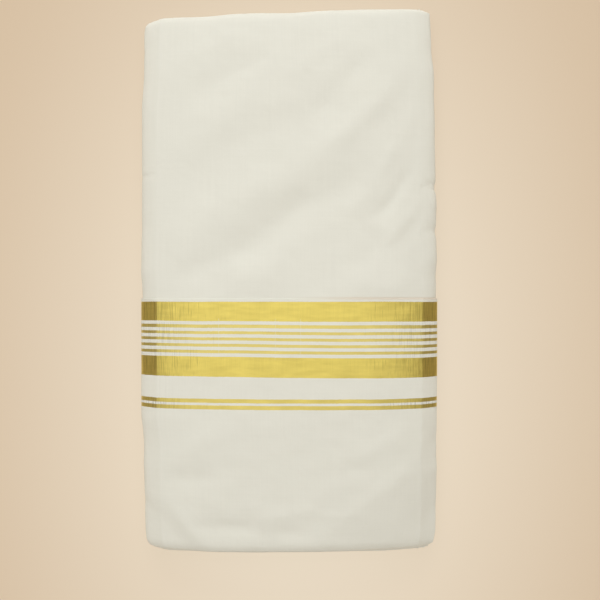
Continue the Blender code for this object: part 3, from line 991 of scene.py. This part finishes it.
def cotton_colour(nodes):
    """Cotton with cloudy areas, thick and thin threads both ways, and the painted tan shadow along the
    selvedge.
    """
    clouds = nodes.noise(0.030, 0.024, 3.0)
    weft = nodes.noise(0.0011, 0.060, 2.0, 3.0)
    warp = nodes.noise(0.070, 0.0012, 2.0, 7.0)
    tone = clouds * 0.34 + weft * 0.40 + warp * 0.26
    return with_painted_edge_shadow(nodes, nodes.colour(tone, rgba(COTTON, 0.94), rgba(COTTON, 1.04)))


def finish_cloth(nodes, threads):
    """The parts that both cloth materials share, over the height of their threads."""
    crumple = nodes.noise(0.0075, 0.0065, 3.0, 5.0)
    soft = nodes.add("ShaderNodeBump", 0, {"Height": crumple, "Strength": 0.5, "Distance": 0.00035})
    fine = nodes.add("ShaderNodeBump", 0, {
        "Height": threads, "Strength": 0.45, "Distance": 0.00008, "Normal": soft,
    })
    nodes.shade(Normal=fine, Sheen_Weight=0.15, Sheen_Roughness=0.45, IOR=1.45)
    return nodes.material


def make_cotton():
    nodes = ClothNodes("cream cotton")
    nodes.shade(Base_Color=cotton_colour(nodes), Roughness=COTTON_ROUGHNESS)
    return finish_cloth(nodes, weave(nodes))


def stripe_cover(nodes):
    """Share of the surface that zari takes: the stripes, with the ragged edges of woven thread."""
    place = nodes.down + nodes.sway(0.0007, 0.050) * 0.0006 + nodes.sway(0.045, 0.100, 1.0) * 0.0009
    ramped = nodes.add("ShaderNodeValToRGB", 0, {"Fac": place / STRIPE_RANGE})
    ramp = ramped.socket.node.color_ramp
    ramp.interpolation = "CONSTANT"
    ramp.elements[0].position, ramp.elements[0].color = 0.0, rgba((0.0, 0.0, 0.0))
    ramp.elements.remove(ramp.elements[1])
    for stripe in STRIPES:
        for edge, cover in ((stripe.start, stripe.cover), (stripe.start + stripe.width, 0.0)):
            ramp.elements.new(edge / STRIPE_RANGE).color = rgba((cover,) * 3)
    return ramped * nodes.maths("GREATER_THAN", nodes.side, 0.5)


def crossing_threads(nodes):
    """1 where a thick thread crosses the border between its broad bands."""
    swayed = nodes.along + nodes.sway(0.020, 0.012, 1.0) * 0.0009
    threads = sum(nodes.maths("LESS_THAN", abs(swayed - x), SLUB_WIDTH / 2) for x in SLUB_THREADS)
    broken = nodes.maths("GREATER_THAN", nodes.noise(0.010, 0.009, 1.0, 8.0), 0.42)
    middle = (STRIPES[0].start + STRIPES[0].width + STRIPES[6].start) / 2
    return threads * broken * nodes.maths("COMPARE", nodes.down, middle, 0.016)


def painted_pucker_lines(nodes):
    """Fine dark lines of painted shade in the grooves of the border's puckers, most of them beside its side
    turns.
    """
    lines = nodes.noise(0.00065, 0.020, 1.0, 9.0)
    patches = nodes.noise(0.012, 0.006, 1.0, 11.0)
    outward = (abs(nodes.along) - PUCKER_LINES_START) / PUCKER_LINES_LENGTH
    threshold = nodes.maths("MAXIMUM", 0.78 - outward * 0.20 - patches * 0.22, 0.50)
    over = nodes.maths("MAXIMUM", (lines - threshold) * 9.0, 0.0)
    return nodes.maths("SMOOTH_MIN", over, 1.0, 0.2)


def pucker_lines_on_bare_cotton(nodes):
    """How dark the painted shade of the puckers is on the cotton between the stripes: most of all within the
    pair.
    """
    among_stripes = nodes.maths("COMPARE", nodes.down, THIN_STRIPES_MIDDLE, THIN_STRIPES_REACH)
    in_pair = nodes.maths("COMPARE", nodes.down, PAIR_GAP_MIDDLE, PAIR_GAP_REACH)
    return nodes.maths("MAXIMUM", among_stripes * 0.36, in_pair * 0.80)


def make_zari_border():
    """Cotton with gold zari stripes woven across it."""
    nodes = ClothNodes("cream cotton with zari border")
    cover = stripe_cover(nodes) * (1 - crossing_threads(nodes) * 0.4)
    pucker_groove_shade, threads = painted_pucker_lines(nodes), weave(nodes)
    ribs = nodes.noise(0.0006, 0.020, 2.0, 2.0)
    # These patches lower the zari's roughness, and also lighten its colour in the same places: painted sheen.
    gloss_and_painted_sheen = nodes.noise(0.016, 0.0035, 3.0, 4.0)
    # The gold's colour follows the thread ribs, the painted sheen, and the painted shade of the puckers.
    ribs_with_painted_sheen_and_shade = ribs * 0.35 + gloss_and_painted_sheen * 0.65 - pucker_groove_shade * 0.75
    gold = nodes.colour(ribs_with_painted_sheen_and_shade, rgba(ZARI, 0.80), rgba(ZARI, 1.20))
    # Painted shade of the puckers greys the bare cotton between the stripes.
    cotton = nodes.colour(pucker_groove_shade * pucker_lines_on_bare_cotton(nodes), cotton_colour(nodes), rgba(COTTON, 0.60))
    nodes.shade(
        Base_Color=nodes.colour(cover, cotton, gold),
        Metallic=cover * 0.96,
        Roughness=mix(COTTON_ROUGHNESS, 0.50 - gloss_and_painted_sheen * 0.20, cover),
    )
    return finish_cloth(nodes, mix(threads, ribs * 0.9 + threads * 0.3, cover))


# ---- the studio

# The backdrop is flat out to its cove, and the cove curves up into a wall.
FLOOR_RADII = (0.0, 0.3, 0.6, 1.2, 2.4, 3.6, 4.6)
COVE_RADIUS = 1.6
COVE_ANGLES = [math.radians(a) for a in (15, 30, 45, 60, 72)]
WALL_TOP = (6.8, 3.8)  # radius and height
BACKDROP_SIDES = 96
BACKDROP_PLACE = (CAMERA_PLACE[0], CAMERA_PLACE[1] - 0.060, -0.0002)
# The paper's colour is painted lighter under the pack and darker away from it: a painted pool of light.
PAPER_PAINTED_LIT, PAPER_PAINTED_DIM = (0.769, 0.693, 0.566), (0.559, 0.434, 0.302)
PAPER_OVAL = (1.0, 0.6, 1.0)  # shrinks distances lengthwise, so the painted lit area is an oval
# Where the painted pool of light begins to fade, and where the painted glow and the paper's colour have
# faded.
LIT_RADIUS, GLOW_RADIUS, FAR_RADIUS = 0.35, 1.10, 2.0

# Name, place, width, height and power.
SOFTBOXES = (
    ("overhead softbox", (-0.10, 0.30, 1.30), 3.0, 2.2, 22.1),
    ("far softbox", (-0.35, 4.60, 1.90), 3.0, 1.6, 110.7),
    ("near fill", (0.05, -1.60, 0.80), 1.2, 0.6, 3.9),
)


def backdrop_mesh():
    """A surface of revolution about Z: the floor, the cove and the wall."""
    profile = [(radius, 0.0) for radius in FLOOR_RADII]
    for angle in COVE_ANGLES:
        out, up = COVE_RADIUS * math.sin(angle), COVE_RADIUS * (1 - math.cos(angle))
        profile.append((FLOOR_RADII[-1] + out, up))
    profile.append(WALL_TOP)
    turns = np.linspace(0, 2 * math.pi, BACKDROP_SIDES + 1)[:-1]
    points = [(r * math.cos(a), r * math.sin(a), z) for r, z in profile for a in turns]
    index = np.arange(len(points)).reshape(-1, BACKDROP_SIDES)
    beside = np.roll(index, -1, axis=1)
    quads = np.stack([index[:-1], index[1:], beside[1:], beside[:-1]], -1).reshape(-1, 4).tolist()
    mesh = bpy.data.meshes.new("backdrop")
    mesh.from_pydata(points, [], quads)
    mesh.shade_smooth()
    return mesh


def glowing_paper_with_painted_pool():
    """Paper with painted light: a glow that keeps the pack's shadow faint, and a pool of light painted
    lightest under the pack and darker away from it.
    """
    nodes = Nodes("backdrop paper with painted light")
    place = nodes.add("ShaderNodeTexCoord", "Object", {})
    squeezed = nodes.add("ShaderNodeVectorMath", 0, {0: place, 1: PAPER_OVAL}, operation="MULTIPLY")
    distance = nodes.add("ShaderNodeVectorMath", "Value", {0: squeezed}, operation="LENGTH")

    def ramp(end, low, high):
        limits = {"From Min": LIT_RADIUS, "From Max": end, "To Min": low, "To Max": high}
        return nodes.add("ShaderNodeMapRange", 0, {"Value": distance, **limits})

    share = nodes.maths("SMOOTH_MIN", distance / 0.30, 1.0, 0.2)
    painted_pool_paper = nodes.colour(share, rgba(PAPER_PAINTED_LIT, 0.30), rgba(PAPER_PAINTED_DIM, 0.30))
    # The glow is painted light: it lights the paper evenly so that the pack's shadow on it stays faint.
    nodes.shade(
        Base_Color=nodes.colour(ramp(FAR_RADIUS, 0.0, 1.0), painted_pool_paper, rgba(PAPER_PAINTED_DIM, 0.04)),
        Roughness=0.95,
        Emission_Color=nodes.colour(share, rgba(PAPER_PAINTED_LIT), rgba(PAPER_PAINTED_DIM)),
        Emission_Strength=ramp(GLOW_RADIUS, 0.905, 0.46),
    )
    return nodes.material


def make_backdrop():
    """A round sheet of pale paper: flat under the pack, and curved up into a wall far away."""
    mesh = backdrop_mesh()
    mesh.materials.append(glowing_paper_with_painted_pool())
    add_object("backdrop", mesh, BACKDROP_PLACE)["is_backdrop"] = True


def make_softbox(name, place, width, height, power):
    """A rectangular light that faces the pack, and that the camera doesn't see."""
    data = bpy.data.lights.new(name, "AREA")
    data.shape = "RECTANGLE"
    data.size, data.size_y = width, height
    data.energy = power
    data.color = DAYLIGHT
    light = add_object(name, data, place)
    light.visible_camera = False
    light.rotation_euler = (-Vector(place)).to_track_quat("-Z", "Y").to_euler()


def make_world():
    world = bpy.data.worlds.new("studio")
    world.use_nodes = True
    background = world.node_tree.nodes["Background"]
    background.inputs["Color"].default_value = rgba(WORLD_COLOUR)
    background.inputs["Strength"].default_value = 1.0
    scene.world = world


def make_camera():
    data = bpy.data.cameras.new("camera")
    data.lens = CAMERA_LENS
    data.clip_start = 0.01
    scene.camera = add_object("camera", data, CAMERA_PLACE)


# ---- the scene

def sheet_size(grid):
    """Flat width and length of a grid of cloth."""
    along = grid.place[..., 0]
    steps = np.linalg.norm(np.diff(grid.middle, axis=0), axis=2).sum(axis=0)
    return float(along.max() - along.min()), float(steps.mean())


def add_piece(name, grid_and_breaks, material, node):
    grid, breaks = grid_and_breaks
    piece = cloth_object(name, grid, breaks, material)
    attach(piece, "root")
    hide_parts(node)
    sheet_size(grid)


make_camera()
cotton, zari_border = make_cotton(), make_zari_border()
inner, upper = "cloth_inner_layers", "cloth_upper_panel"
add_piece(inner, inner_layers_grid(), zari_border, "folded_layers")
add_piece(upper, upper_panel_grid(), cotton, "upper_panel")
add_piece("cloth_border_flap", border_flap_grid(), zari_border, "border_flap")
make_backdrop()
for softbox in SOFTBOXES:
    make_softbox(*softbox)
make_world()
scene.view_settings.view_transform = "Standard"

bpy.context.view_layer.update()
boxes = {"cad": cad_box, "visual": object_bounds()}
{name: [list(corner) for corner in box] for name, box in boxes.items()}
